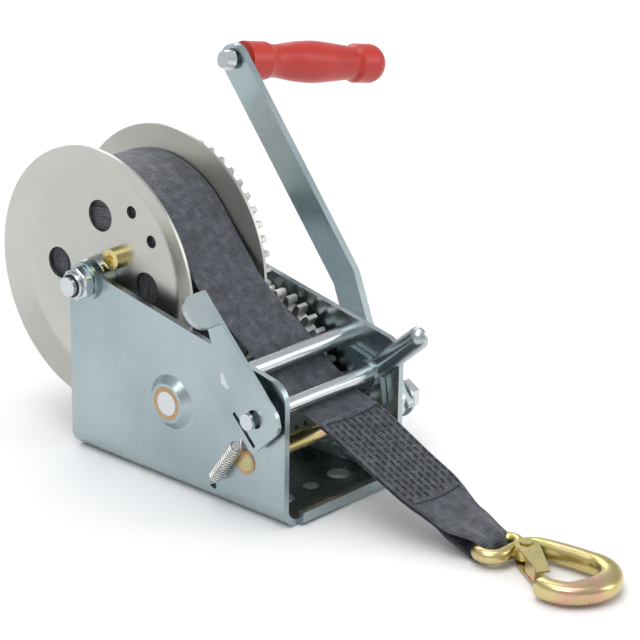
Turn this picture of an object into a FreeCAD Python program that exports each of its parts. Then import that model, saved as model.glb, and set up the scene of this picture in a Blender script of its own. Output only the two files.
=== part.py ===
import FreeCAD, Part
import math
import os
import re
import Sketcher

# A hand winch with a strap and hook. Origin: the centre of the base's underside.
# X runs from the lever side to the crank side, -Y is the front where the strap leaves, Z is up.
# The drum, the countershaft, the drive shaft and the pawl shaft all lie along X.

V = FreeCAD.Vector
MODULE = 3.0
DRUM_TEETH = 50
COUNTER_TEETH = 31
PINION_TEETH = 12
DRUM_Y = 75.4
DRUM_Z = 113.2
DRUM_TO_COUNTER = math.radians(218.9)
COUNTER_TO_DRIVE = math.radians(198.35)
FIRST_STAGE = MODULE * (DRUM_TEETH + PINION_TEETH) / 2
SECOND_STAGE = MODULE * (COUNTER_TEETH + PINION_TEETH) / 2
COUNTER_Y = DRUM_Y + FIRST_STAGE * math.cos(DRUM_TO_COUNTER)
COUNTER_Z = DRUM_Z + FIRST_STAGE * math.sin(DRUM_TO_COUNTER)
DRIVE_Y = COUNTER_Y + SECOND_STAGE * math.cos(COUNTER_TO_DRIVE)
DRIVE_Z = COUNTER_Z + SECOND_STAGE * math.sin(COUNTER_TO_DRIVE)

SIZES = {
    # frame
    "frame_width": 104, "frame_depth": 180, "sheet_thick": 4, "bend_out": 12, "blank_top": 140,
    "front_top": 89.3, "top_rise": 0.19, "corner_round": 13,
    "lip_width": 79, "lip_front": 8.5, "lip_rear": 12, "lip_out": 4, "lip_bend": 3.6,
    "base_hole_x": 25, "base_hole_y": 63.5, "base_hole_dia": 15, "centre_hole_dia": 10,
    "boss_base": 18, "boss_face": 12.5, "boss_proud": 4.2, "boss_recess": 3.5,
    "anchor_y": -32.3, "anchor_z": 11.5, "anchor_dia": 5,
    # axes, as Y and Z
    "drum_y": DRUM_Y, "drum_z": DRUM_Z, "counter_y": COUNTER_Y, "counter_z": COUNTER_Z,
    "drive_y": DRIVE_Y, "drive_z": DRIVE_Z, "pawl_y": -70.3, "pawl_z": 66.6,
    "tube_y": -47, "tube_z": 84.3,
    # drum axle
    "axle_dia": 12, "axle_washer_dia": 24, "axle_washer_thick": 2.5, "axle_nut_flats": 19,
    "axle_nut_high": 10.5, "axle_end": 3, "spacer_dia": 26, "side_gap": 0.25,
    # drum
    "flange_dia": 164.3, "flange_thick": 2, "left_flat": -36.5, "right_flat": 15,
    "flare_start": 66, "flare": 6, "flare_right": 3.5,
    "hub_dia": 22, "core_dia": 30, "hub_play": 0.1, "hub_long": 12,
    "window_ring": 38, "window_dia": 20, "window_angle": 88, "small_hole_ring": 53.3,
    "small_hole_dia": 8, "small_hole_first": 119, "small_hole_second": 143,
    "clamp_ring": 21, "clamp_angle": 133, "clamp_dia": 8, "clamp_head_dia": 13,
    "clamp_head_high": 7, "clamp_socket": 6, "clamp_nut_high": 4, "clamp_nut_flats": 13,
    "rivet_ring": 52, "rivet_dia": 8, "rivet_head_dia": 15, "rivet_head_high": 2.2,
    "gear_left": 22, "gear_thick": 8, "drum_bore": 22,
    "coil_dia": 132, "strap_wide": 50, "strap_middle": -10.75,
    # countershaft
    "counter_dia": 15, "counter_bush_dia": 21, "counter_bush_in": 46, "shaft_play": 0.1,
    "pinion_left": 20.5, "pinion_long": 12.5, "counter_gear_left": 35, "counter_gear_thick": 8,
    "collar_dia": 21, "collar_left": 2.2,
    # drive shaft and crank
    "drive_dia": 12, "drive_bush_dia": 16, "drive_pinion_left": 34, "drive_pinion_long": 13.5,
    "drive_left_end": 52.5, "drive_bush_out": 0.5, "drive_bush_in": 6, "drive_bush_right_out": 6,
    "drive_collar_dia": 20, "drive_collar_thick": 4,
    "crank_start": 80, "crank_thick": 5, "crank_wide": 21, "crank_length": 237, "crank_jog": 10.5,
    "jog_first": 48, "jog_last": 83, "crank_tail": 9.5, "crank_tip": 10.5, "crank_angle": 51.3,
    "hub_tube_dia": 22, "crank_nut_flats": 17, "crank_nut_high": 8, "crank_washer_dia": 24,
    "crank_washer_thick": 2, "crank_end": 3, "spindle_dia": 8, "spindle_head_dia": 14,
    "spindle_head_high": 6, "spindle_lean": 14, "spindle_lift": 1.9, "grip_gap": 3.4,
    "grip_length": 113, "grip_bore_left": 13,
    "grip_collar": 12.3, "grip_neck": 10.8, "grip_belly": 13.7, "grip_waist": 10.9, "grip_bulb": 12.8,
    # selector
    "pawl_dia": 10, "pawl_thick": 4.2, "pawl_left": 43.3, "pawl_hub_dia": 18, "pawl_hub_long": 5,
    "tip_reach": 23, "tip_heel": 20.5, "tip_spread": 70.5, "heel_spread": 81.5, "pawl_axis": -42.5,
    "finger_reach": 47, "finger_half": 7, "finger_angle": 138.5,
    "lever_in": 56.5, "lever_thick": 3, "pawl_end": 64,
    "lever_collar_dia": 16, "lever_collar_thick": 3.2, "tab_long": 19,
    "slot_wide": 2.6, "eye_gap": 5.7,
    # spring, outside the left plate
    "spring_dia": 8.6, "spring_wire": 1.1, "spring_x": -57, "spring_from": 0.27, "spring_to": 0.86,
    "hook_up_y": -63.5, "hook_up_z": 55.9,
    # front spacer
    "tube_dia": 11.5, "tube_bore": 6.4, "tie_dia": 6, "tie_head_flats": 10, "tie_head_high": 4,
    "tie_nut_high": 5.5, "tie_end": 1.5,
    # strap
    "strap_thick": 2, "strap_gap": 0.4, "strap_lapped": 4.6,
    # hook
    "hook_z": 7.5, "eye_bar": 4.5, "eye_rear": -197, "eye_front": -213, "eye_left": -9,
    "eye_right": 19, "bowl_bar": 6, "bowl_ring": 22.5, "bowl_x": 4.5, "bowl_y": -259.5,
    "bowl_turn": 188, "tip_long": 6, "latch_pin_x": 12, "latch_pin_y": -219.5, "lug_dia": 14, "lug_high": 8,
    "latch_pin_dia": 4.4, "latch_pin_long": 11.8, "latch_pin_head": 8, "latch_high": 11.6,
    "latch_space": 9.8, "loop_play": 0.5, "loop_wide": 26,
}

doc = FreeCAD.newDocument("winch")
sheet = doc.addObject("Spreadsheet::Sheet", "Sizes")
for row, (alias, number) in enumerate(SIZES.items(), 1):
    sheet.set(f"A{row}", alias)
    sheet.set(f"B{row}", repr(float(number)))
    sheet.setAlias(f"B{row}", alias)
doc.recompute()

SUB_PARTS = []
ALONG_X = FreeCAD.Rotation(V(0, 1, 0), 90)
WORD = re.compile(r"[a-z_]+[a-z]")


def bound(text):
    """The expression with each size's alias pointed at the sheet."""
    return WORD.sub(lambda m: "Sizes." + m.group() if m.group() in SIZES else m.group(), str(text))


def value(text):
    """The number that an expression has now."""
    found = sheet.evalExpression(bound(text))
    return float(getattr(found, "Value", found))


def bind(item, **expressions):
    """Binds properties to the sheet; a double underscore stands for a dot."""
    for name, text in expressions.items():
        item.setExpression(name.replace("__", "."), bound(text))
    return item


def keep(item, node):
    """Makes an object a sub-part that is written out under the node's name."""
    item.Label = node
    SUB_PARTS.append(item)
    return item


def rod(name, radius, length, x, y=0, z=0):
    """A cylinder along +X that starts at x."""
    item = doc.addObject("Part::Cylinder", name)
    item.Placement = FreeCAD.Placement(V(), ALONG_X)
    return bind(item, Radius=radius, Height=length, Placement__Base__x=x, Placement__Base__y=y,
                Placement__Base__z=z)


def post(name, radius, length, x, y, z):
    """A cylinder along +Z that starts at z."""
    item = doc.addObject("Part::Cylinder", name)
    return bind(item, Radius=radius, Height=length, Placement__Base__x=x, Placement__Base__y=y,
                Placement__Base__z=z)


def hexagon(name, flats, length, x, y, z):
    """A hexagonal prism along +X that starts at x."""
    item = doc.addObject("Part::Prism", name)
    item.Polygon = 6
    item.Placement = FreeCAD.Placement(V(), ALONG_X)
    return bind(item, Circumradius=f"({flats}) / sqrt(3)", Height=length, Placement__Base__x=x,
                Placement__Base__y=y, Placement__Base__z=z)


def cone(name, first, last, length, x, y, z):
    """A cone along +X that starts at x."""
    item = doc.addObject("Part::Cone", name)
    item.Placement = FreeCAD.Placement(V(), ALONG_X)
    return bind(item, Radius1=first, Radius2=last, Height=length, Placement__Base__x=x,
                Placement__Base__y=y, Placement__Base__z=z)


def fuse(name, *items):
    item = doc.addObject("Part::MultiFuse", name)
    item.Shapes = list(items)
    return item


def cut(name, base, tool):
    item = doc.addObject("Part::Cut", name)
    item.Base = base
    item.Tool = tool
    return item


def group(name, *items):
    """Separate solids kept together as one sub-part."""
    item = doc.addObject("Part::Compound", name)
    item.Links = list(items)
    return item


def tube(name, outer, inner, length, x, y=0, z=0):
    """A round tube along X."""
    return cut(name, rod(name + "_outside", outer, length, x, y, z),
               rod(name + "_bore", inner, f"{length} + 2", f"{x} - 1", y, z))


def new_body(name):
    body = doc.addObject("PartDesign::Body", name)
    doc.recompute()
    return body


def sketch_on(body, name, role):
    """A sketch on one of the body's own origin planes."""
    plane = next(f for f in body.Origin.OriginFeatures if f.Role == role)
    sketch = body.newObject("Sketcher::SketchObject", name)
    sketch.AttachmentSupport = [(plane, "")]
    sketch.MapMode = "FlatFace"
    return sketch


def place_point(sketch, geometry, end, across, up):
    """Ties a point of the sketch to a pair of expressions."""
    for kind, text in (("DistanceX", across), ("DistanceY", up)):
        index = sketch.addConstraint(
            Sketcher.Constraint(kind, -1, 1, geometry, end, value(text)))
        sketch.setExpression(f"Constraints[{index}]", bound(text))


def polygon(sketch, corners):
    """A closed outline of straight sides, each corner a pair of expressions."""
    points = [V(value(across), value(up), 0) for across, up in corners]
    count = len(points)
    first = sketch.GeometryCount
    for i, point in enumerate(points):
        sketch.addGeometry(Part.LineSegment(point, points[(i + 1) % count]), False)
    for i in range(count):
        following = first + (i + 1) % count
        sketch.addConstraint(Sketcher.Constraint("Coincident", first + i, 2, following, 1))
    for i, (across, up) in enumerate(corners):
        place_point(sketch, first + i, 1, across, up)


def circle(sketch, radius, across, up):
    round_edge = Part.Circle(V(value(across), value(up), 0), V(0, 0, 1), value(radius))
    geometry = sketch.addGeometry(round_edge, False)
    place_point(sketch, geometry, 3, across, up)
    index = sketch.addConstraint(Sketcher.Constraint("Radius", geometry, value(radius)))
    sketch.setExpression(f"Constraints[{index}]", bound(radius))


def pad(body, name, sketch, length, middle=False, backwards=False):
    feature = body.newObject("PartDesign::Pad", name)
    feature.Profile = sketch
    feature.Midplane = middle
    feature.Reversed = backwards
    bind(feature, Length=length)
    doc.recompute()
    return feature


def pocket(body, name, sketch):
    """A cut right through, both ways from the sketch."""
    feature = body.newObject("PartDesign::Pocket", name)
    feature.Profile = sketch
    feature.Midplane = True
    feature.Type = "ThroughAll"
    before = body.Shape.Volume
    doc.recompute()
    if body.Shape.Volume >= before:
        raise ValueError(f"{name} cuts nothing")
    return feature


def round_edges(body, name, radius, along, places):
    """Fillets the straight edges that run along an axis and pass the places given."""
    base = body.Tip
    doc.recompute()
    chosen = []
    for number, edge in enumerate(base.Shape.Edges, 1):
        first, last = edge.Vertexes[0].Point, edge.Vertexes[-1].Point
        run = last - first
        if run.Length < 0.1 or abs(abs(run.normalize().dot(along)) - 1) > 1e-6:
            continue
        middle = edge.CenterOfMass
        for place in places:
            away = middle - V(*place)
            if (away - along * away.dot(along)).Length < 0.05:
                chosen.append(f"Edge{number}")
    if not chosen:
        raise ValueError(f"{name} finds no edge")
    feature = body.newObject("PartDesign::Fillet", name)
    feature.Base = (base, chosen)
    bind(feature, Radius=radius)
    doc.recompute()
    return feature


def revolve_about_x(body, name, sketch, y, z):
    """Turns a profile, drawn as X and radius, about the X axis and moves it to an axis."""
    feature = body.newObject("PartDesign::Revolution", name)
    feature.Profile = sketch
    feature.ReferenceAxis = (sketch, ["H_Axis"])
    feature.Angle = 360
    bind(body, Placement__Base__y=y, Placement__Base__z=z)
    doc.recompute()
    return feature


def polar(ring, angle, y, z):
    """Expressions for a point on a ring round an axis, with the angle in degrees from +Y."""
    return (f"{y} + ({ring}) * cos(({angle}) * 1 deg)", f"{z} + ({ring}) * sin(({angle}) * 1 deg)")


HALF = "frame_width / 2"
INNER = "(frame_width / 2 - sheet_thick)"


def make_frame():
    """One bent sheet: a channel with sloping side plates, turned-up lips and pressed bosses."""
    body = new_body("frame_sheet")
    section = sketch_on(body, "channel_section", "XZ_Plane")
    polygon(section, [
        (f"-{HALF}", "blank_top"), (f"-{HALF}", 0), (HALF, 0), (HALF, "blank_top"),
        (INNER, "blank_top"), (INNER, "sheet_thick"), (f"-{INNER}", "sheet_thick"),
        (f"-{INNER}", "blank_top")])
    pad(body, "channel", section, "frame_depth", middle=True)
    slope = sketch_on(body, "top_slope", "YZ_Plane")
    reach = "(frame_depth / 2 + 5)"
    polygon(slope, [
        (f"-{reach}", "front_top - 5 * top_rise"), (reach, "front_top + (frame_depth + 5) * top_rise"),
        (reach, "blank_top + 5"), (f"-{reach}", "blank_top + 5")])
    pocket(body, "slope_cut", slope)
    half, inner = value(HALF), value(INNER)
    depth = value("frame_depth / 2")
    round_edges(body, "bends_outside", "bend_out", V(0, 1, 0), [(-half, 0, 0), (half, 0, 0)])
    thick = value("sheet_thick")
    round_edges(body, "bends_inside", "bend_out - sheet_thick", V(0, 1, 0),
                [(-inner, 0, thick), (inner, 0, thick)])
    front, rear = value("front_top"), value("front_top + frame_depth * top_rise")
    round_edges(body, "top_corners", "corner_round", V(1, 0, 0), [(0, -depth, front), (0, depth, rear)])
    for side, high in (("-", "lip_front"), ("", "lip_rear")):
        name = "front" if side else "rear"
        lip = sketch_on(body, name + "_lip_section", "YZ_Plane")
        edge = "frame_depth / 2"
        corners = [(f"{edge} - 3", 0), (f"{edge} + lip_out", 0), (f"{edge} + lip_out", high),
                   (edge, high), (edge, "sheet_thick"), (f"{edge} - 3", "sheet_thick")]
        polygon(lip, [(f"{side}({across})", up) for across, up in corners])
        pad(body, name + "_lip", lip, "lip_width", middle=True)
        end = value(f"{side}({edge} + lip_out)")
        round_edges(body, name + "_lip_bend", "lip_bend", V(1, 0, 0), [(0, end, 0)])
    holes = sketch_on(body, "base_holes", "XY_Plane")
    for across in ("-base_hole_x", "base_hole_x"):
        for up in ("-base_hole_y", "base_hole_y"):
            circle(holes, "base_hole_dia / 2", across, up)
    for up in ("-base_hole_y", "base_hole_y"):
        circle(holes, "centre_hole_dia / 2", 0, up)
    pocket(body, "base_hole_cut", holes)

    left = cone("boss_left", "boss_face", "boss_base", "boss_proud + 1", f"-{HALF} - boss_proud",
                "counter_y", "counter_z")
    right = cone("boss_right", "boss_base", "boss_face", "boss_proud + 1", f"{HALF} - 1",
                 "counter_y", "counter_z")
    pressed = fuse("frame_pressed", body, left, right)
    span, start = "frame_width + 20", f"-{HALF} - 10"
    drills = [
        rod("axle_drill", "axle_dia / 2 + 0.1", span, start, "drum_y", "drum_z"),
        rod("counter_drill", "counter_bush_dia / 2", span, start, "counter_y", "counter_z"),
        rod("drive_drill", "drive_bush_dia / 2", span, start, "drive_y", "drive_z"),
        rod("pawl_drill", "pawl_dia / 2 + 0.05", span, start, "pawl_y", "pawl_z"),
        rod("tie_drill", "tie_dia / 2 + 0.1", span, start, "tube_y", "tube_z"),
        rod("anchor_drill", "anchor_dia / 2", 14, start, "anchor_y", "anchor_z"),
        cone("recess_left", "boss_face - 1", "boss_base - 2", "boss_recess", f"-{INNER} - boss_recess",
             "counter_y", "counter_z"),
        cone("recess_right", "boss_base - 2", "boss_face - 1", "boss_recess", INNER,
             "counter_y", "counter_z"),
    ]
    keep(cut("frame_drilled", pressed, fuse("frame_drills", *drills)), "frame")


def make_front_spacer():
    """The tube between the plates that the strap turns under, clamped by a long bolt."""
    keep(tube("front_tube", "tube_dia / 2", "tube_bore / 2", f"2 * {INNER}", f"-{INNER}",
              "tube_y", "tube_z"), "front_spacer_tube")
    shank = rod("tie_shank", "tie_dia / 2", f"2 * {HALF} + tie_nut_high + tie_end", f"-{HALF}",
                "tube_y", "tube_z")
    head = hexagon("tie_head", "tie_head_flats", "tie_head_high", f"-{HALF} - tie_head_high",
                   "tube_y", "tube_z")
    keep(fuse("tie_bolt", shank, head), "front_spacer_bolt")
    nut = hexagon("tie_nut_body", "tie_head_flats", "tie_nut_high", HALF, "tube_y", "tube_z")
    thread = rod("tie_nut_thread", "tie_dia / 2", "tie_nut_high + 2", f"{HALF} - 1", "tube_y", "tube_z")
    keep(cut("tie_nut", nut, thread), "front_spacer_nut")


def make_axle():
    """The drum axle: a long bolt with a washer and a nut each side of the frame."""
    washer, high = "axle_washer_thick", "axle_nut_high"
    shank = rod("axle_shank", "axle_dia / 2", f"2 * {HALF} + 2 * {washer} + {high} + axle_end",
                f"-{HALF} - {washer} - {high} - axle_end", "drum_y", "drum_z")
    head = hexagon("axle_head", "axle_nut_flats", "8", f"{HALF} + {washer}", "drum_y", "drum_z")
    keep(fuse("axle_bolt", shank, head), "drum_axle_bolt")
    nut = hexagon("axle_nut_body", "axle_nut_flats", high, f"-{HALF} - {washer} - {high}",
                  "drum_y", "drum_z")
    thread = rod("axle_nut_thread", "axle_dia / 2", f"{high} + 2", f"-{HALF} - {washer} - {high} - 1",
                 "drum_y", "drum_z")
    keep(cut("axle_nut", nut, thread), "drum_axle_nut")
    washers = [tube(f"axle_washer_{side}", "axle_washer_dia / 2", "axle_dia / 2", washer, start,
                    "drum_y", "drum_z")
               for side, start in (("left", f"-{HALF} - {washer}"), ("right", HALF))]
    keep(group("axle_washers", *washers), "drum_axle_washers")
    keep(tube("axle_spacer_l", "spacer_dia / 2", "axle_dia / 2",
              f"{INNER} + left_flat - flange_thick - side_gap", f"-{INNER}", "drum_y", "drum_z"),
         "axle_spacer_left")
    keep(tube("axle_spacer_r", "spacer_dia / 2", "axle_dia / 2",
              f"{INNER} - gear_left - gear_thick - side_gap", "gear_left + gear_thick + side_gap",
              "drum_y", "drum_z"), "axle_spacer_right")


def make_flange(node, flat, way, flare):
    """A dished drum flange; way is '-' for the left one, whose rim flares towards -X."""
    body = new_body(node + "_body")
    section = sketch_on(body, node + "_section", "XZ_Plane")
    out = f"{flat} {way} flange_thick"
    rim, start = "flange_dia / 2", "flare_start"
    polygon(section, [
        (flat, "hub_dia / 2"), (flat, start), (f"{flat} {way} {flare}", rim),
        (f"{out} {way} {flare}", rim), (out, f"{start} - 1"), (out, "hub_dia / 2")])
    revolve_about_x(body, node + "_disc", section, "drum_y", "drum_z")
    holes = sketch_on(body, node + "_holes", "YZ_Plane")
    for quarter in range(4):
        circle(holes, "window_dia / 2", *polar("window_ring", f"window_angle + {90 * quarter}", 0, 0))
    circle(holes, "clamp_dia / 2", *polar("clamp_ring", "clamp_angle", 0, 0))
    if way == "+":
        for quarter in range(4):
            circle(holes, "rivet_dia / 2", *polar("rivet_ring", 45 + 90 * quarter, 0, 0))
    else:
        for angle in ("small_hole_first", "small_hole_second"):
            circle(holes, "small_hole_dia / 2", *polar("small_hole_ring", angle, 0, 0))
    pocket(body, node + "_hole_cut", holes)
    round_edges_at_crease(body, node)
    keep(body, node)


def round_edges_at_crease(body, node):
    """Softens the two circular creases where the flat turns into the flare."""
    base = body.Tip
    crease = value("flare_start")
    chosen = []
    for number, edge in enumerate(base.Shape.Edges, 1):
        curve = edge.Curve
        if isinstance(curve, Part.Circle) and abs(curve.Radius - crease) < 1.5:
            chosen.append(f"Edge{number}")
    feature = body.newObject("PartDesign::Fillet", node + "_crease")
    feature.Base = (base, chosen)
    feature.Radius = 12
    doc.recompute()


def involute(angle):
    return math.tan(angle) - angle


def gear_shape(teeth, shift, bore, x, thick, middle, turn):
    """A spur gear along +X whose tooth at the angle turn is centred; involute flanks."""
    pressure = math.radians(20)
    pitch = MODULE * teeth / 2
    base = pitch * math.cos(pressure)
    root = pitch + MODULE * (shift - 1.25)
    tip = pitch + MODULE * (shift + 0.9)
    backlash = 0.15
    thickness = MODULE * (math.pi / 2 + 2 * shift * math.tan(pressure)) - backlash
    half_at_pitch = thickness / (2 * pitch)

    def half_angle(radius):
        if radius <= base:
            return half_at_pitch + involute(pressure)
        return half_at_pitch + involute(pressure) - involute(math.acos(base / radius))

    def at(radius, angle):
        return V(x, middle[0] + radius * math.cos(angle), middle[1] + radius * math.sin(angle))

    steps = 5
    low = max(root, base)
    radii = [low + (tip - low) * i / steps for i in range(steps + 1)]
    edges = []
    for tooth in range(teeth):
        centre = turn + 2 * math.pi * tooth / teeth
        rising = [at(r, centre - half_angle(r)) for r in radii]
        falling = [at(r, centre + half_angle(r)) for r in reversed(radii)]
        foot = at(root, centre - half_angle(root))
        far_foot = at(root, centre + half_angle(root))
        following = centre + 2 * math.pi / teeth
        next_foot = at(root, following - half_angle(root))
        between = at(root, (centre + following) / 2)
        if root < base:
            edges.append(Part.LineSegment(foot, rising[0]).toShape())
        flank = Part.BSplineCurve()
        flank.interpolate(rising)
        edges.append(flank.toShape())
        edges.append(Part.Arc(rising[-1], at(tip, centre), falling[0]).toShape())
        flank = Part.BSplineCurve()
        flank.interpolate(falling)
        edges.append(flank.toShape())
        if root < base:
            edges.append(Part.LineSegment(falling[-1], far_foot).toShape())
        edges.append(Part.Arc(far_foot, between, next_foot).toShape())
    blank = Part.Face(Part.Wire(edges)).extrude(V(thick, 0, 0))
    return blank.cut(Part.makeCylinder(bore, thick + 2, V(x - 1, *middle), V(1, 0, 0)))


def add_shape(name, shape):
    """An object that carries a shape made in code, for what no parametric feature fits."""
    item = doc.addObject("Part::Feature", name)
    item.Shape = shape
    return item


def make_drum():
    """Flanges, core, gear, coil and what holds them, all turning on the axle."""
    make_flange("drum_flange_left", "left_flat", "-", "flare")
    make_flange("drum_flange_right", "right_flat", "+", "flare_right")
    keep(tube("core_tube", "core_dia / 2", "hub_dia / 2", "right_flat - left_flat", "left_flat",
              "drum_y", "drum_z"), "drum_core")
    play = "axle_dia / 2 + hub_play / 2"
    hubs = [
        tube("hub_left", "hub_dia / 2", play, "hub_long", "left_flat - flange_thick",
             "drum_y", "drum_z"),
        tube("hub_right", "hub_dia / 2", play, "hub_long + gear_left + gear_thick - right_flat",
             "right_flat - hub_long", "drum_y", "drum_z")]
    keep(group("hub_pair", *hubs), "drum_bushes")

    middle = (DRUM_Y, DRUM_Z)
    gear = add_shape("drum_gear_blank", gear_shape(
        DRUM_TEETH, -0.3, value("drum_bore / 2"), value("gear_left"), value("gear_thick"), middle,
        DRUM_TO_COUNTER))
    holes = []
    rivets = []
    for quarter in range(4):
        place = polar("rivet_ring", 45 + 90 * quarter, "drum_y", "drum_z")
        holes.append(rod(f"rivet_hole_{quarter}", "rivet_dia / 2", "gear_thick + 2", "gear_left - 1",
                         *place))
        shank = rod(f"rivet_shank_{quarter}", "rivet_dia / 2",
                    "gear_left + gear_thick - right_flat + rivet_head_high / 2", "right_flat", *place)
        stand = rod(f"rivet_stand_{quarter}", "rivet_head_dia / 2",
                    "gear_left - right_flat - flange_thick", "right_flat + flange_thick", *place)
        head = cone(f"rivet_head_{quarter}", "rivet_head_dia / 2", "rivet_dia / 2", "rivet_head_high",
                    "gear_left + gear_thick", *place)
        rivets.append(fuse(f"rivet_{quarter}", shank, stand, head))
    keep(cut("drum_gear_drilled", gear, fuse("rivet_holes", *holes)), "drum_gear")
    keep(group("rivet_set", *rivets), "gear_rivets")

    place = polar("clamp_ring", "clamp_angle", "drum_y", "drum_z")
    out = "left_flat - flange_thick"
    shank = rod("clamp_shank", "clamp_dia / 2", f"right_flat + flange_thick + clamp_nut_high - ({out})",
                out, *place)
    head = rod("clamp_head", "clamp_head_dia / 2", "clamp_head_high", f"{out} - clamp_head_high", *place)
    socket = hexagon("clamp_socket_cut", "clamp_socket", "clamp_head_high / 2 + 1",
                     f"{out} - clamp_head_high - 1", *place)
    keep(cut("clamp_bolt", fuse("clamp_solid", shank, head), socket), "strap_clamp_bolt")
    nut = hexagon("clamp_nut_body", "clamp_nut_flats", "clamp_nut_high", "right_flat + flange_thick",
                  *place)
    thread = rod("clamp_nut_thread", "clamp_dia / 2", "clamp_nut_high + 2",
                 "right_flat + flange_thick - 1", *place)
    keep(cut("clamp_nut", nut, thread), "strap_clamp_nut")

    coil = tube("coil_roll", "coil_dia / 2", "core_dia / 2", "strap_wide",
                "strap_middle - strap_wide / 2", "drum_y", "drum_z")
    slit = rod("coil_slit", "clamp_dia / 2", "strap_wide + 2", "strap_middle - strap_wide / 2 - 1",
               *place)
    keep(cut("coil_solid", coil, slit), "strap_coil")


def make_counter():
    """The countershaft, which takes the drive gear's turn to the drum gear."""
    axis = ("counter_y", "counter_z")
    end = f"{HALF} + boss_proud"
    keep(rod("counter_rod", "counter_dia / 2", f"2 * ({end})", f"-({end})", *axis), "counter_shaft")
    bushes = [("left", f"-({end})"), ("right", "counter_bush_in")]
    for side, start in bushes:
        keep(tube(f"counter_bush_{side}_tube", "counter_bush_dia / 2",
                  "counter_dia / 2 + shaft_play / 2", f"{end} - counter_bush_in", start, *axis),
             f"counter_bush_{side}")
    middle = (COUNTER_Y, COUNTER_Z)
    keep(add_shape("counter_pinion_shape", gear_shape(
        PINION_TEETH, 0.3, value("counter_dia / 2"), value("pinion_left"), value("pinion_long"),
        middle, DRUM_TO_COUNTER + math.pi + math.pi / PINION_TEETH)), "counter_pinion")
    keep(add_shape("counter_gear_shape", gear_shape(
        COUNTER_TEETH, -0.3, value("counter_dia / 2"), value("counter_gear_left"),
        value("counter_gear_thick"), middle, COUNTER_TO_DRIVE)), "counter_gear")
    gear_end = "counter_gear_left + counter_gear_thick"
    middle_start = "pinion_left + pinion_long"
    collars = [
        tube("collar_left_ring", "collar_dia / 2 - 1", "counter_dia / 2", "collar_left - 0.4",
             "-counter_bush_in + 0.2", *axis),
        tube("collar_mid", "collar_dia / 2", "counter_dia / 2",
             f"counter_gear_left - ({middle_start})", middle_start, *axis),
        tube("collar_right_ring", "collar_dia / 2", "counter_dia / 2",
             f"counter_bush_in - 0.2 - ({gear_end})", gear_end, *axis)]
    keep(group("collar_set", *collars), "counter_collars")


def make_drive():
    """The crank's shaft with its pinion, and the crank on its end."""
    axis = ("drive_y", "drive_z")
    arm_end = "crank_start + crank_thick + crank_washer_thick + crank_nut_high + crank_end"
    keep(rod("drive_rod", "drive_dia / 2", f"drive_left_end + {arm_end}", "-drive_left_end", *axis),
         "drive_shaft")
    fit = "drive_dia / 2 + shaft_play / 2"
    keep(tube("drive_bush_l", "drive_bush_dia / 2", fit, "drive_bush_out + sheet_thick + drive_bush_in",
              f"-{HALF} - drive_bush_out", *axis), "drive_bush_left")
    keep(tube("drive_bush_r", "drive_bush_dia / 2", fit, "sheet_thick + drive_bush_right_out", INNER,
              *axis), "drive_bush_right")
    keep(add_shape("drive_pinion_shape", gear_shape(
        PINION_TEETH, 0.3, value("drive_dia / 2"), value("drive_pinion_left"),
        value("drive_pinion_long"), (DRIVE_Y, DRIVE_Z),
        COUNTER_TO_DRIVE + math.pi + math.pi / PINION_TEETH)), "drive_pinion")
    keep(tube("drive_collar_ring", "drive_collar_dia / 2", "drive_dia / 2", "drive_collar_thick",
              f"-{INNER} + drive_bush_in + 0.2", *axis), "drive_collar")
    hub_start = f"{HALF} + drive_bush_right_out + 0.3"
    keep(tube("crank_hub_tube", "hub_tube_dia / 2", "drive_dia / 2", f"crank_start - ({hub_start})",
              hub_start, *axis), "crank_hub")
    washer_start = "crank_start + crank_thick"
    keep(tube("crank_washer_ring", "crank_washer_dia / 2", "drive_dia / 2", "crank_washer_thick",
              washer_start, *axis), "crank_washer")
    nut = hexagon("crank_nut_body", "crank_nut_flats", "crank_nut_high",
                  f"{washer_start} + crank_washer_thick", *axis)
    thread = rod("crank_nut_thread", "drive_dia / 2", "crank_nut_high + 2",
                 f"{washer_start} + crank_washer_thick - 1", *axis)
    keep(cut("crank_nut_cut", nut, thread), "crank_nut")
    make_crank_arm()
    make_grip()


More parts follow.
